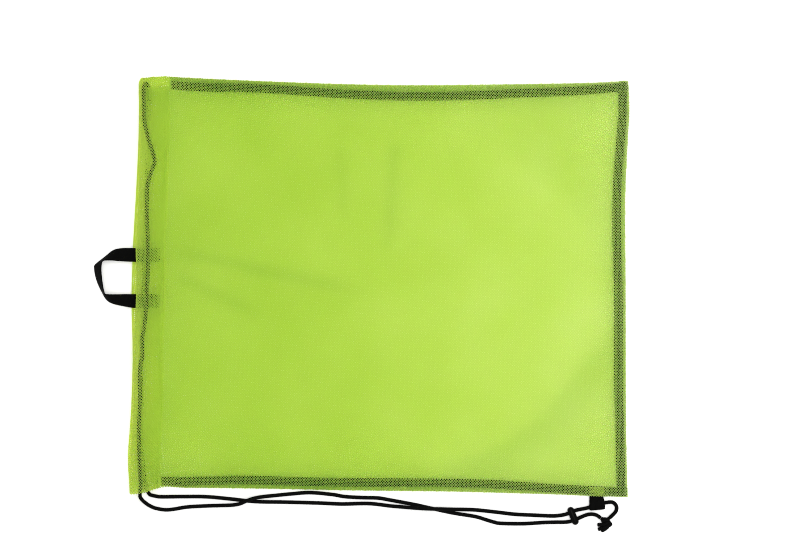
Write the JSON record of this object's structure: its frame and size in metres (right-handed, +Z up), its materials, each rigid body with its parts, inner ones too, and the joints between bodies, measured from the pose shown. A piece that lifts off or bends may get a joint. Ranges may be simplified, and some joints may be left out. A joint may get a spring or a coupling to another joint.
{
  "type": "mesh swim bag",
  "caption": "Flat net drawstring bag lying on a surface, with a hem tunnel at its open mouth, a webbing hang loop, and a drawcord with a sliding lock and a knot.",
  "frame": {"origin": "middle of the bag's flat body, on the underside of the back panel, at the level of the surface it lies on", "axes": "+X from the open mouth to the sewn bottom seam, +Y across the bag away from the drawcord, +Z up from the surface"},
  "size_m": [0.6448, 0.5488, 0.0216],
  "materials": {
    "net_cloth": "knitted polyester net",
    "binding_tape": "woven polyester tape",
    "webbing": "ribbed polypropylene webbing",
    "cord": "braided polyester cord",
    "lock_plastic": "satin moulded"
  },
  "bodies": {
    "root": {"front_panel": "net_cloth", "back_panel": "net_cloth", "seam_binding_low": "binding_tape", "seam_binding_end": "binding_tape", "seam_binding_high": "binding_tape", "handle_loop": "webbing", "cord_tab": "webbing", "hem_cord": "cord", "front_strand": "cord", "back_strand": "cord", "cord_lock": "lock_plastic", "cord_knot": "cord"}
  },
  "joints": []
}
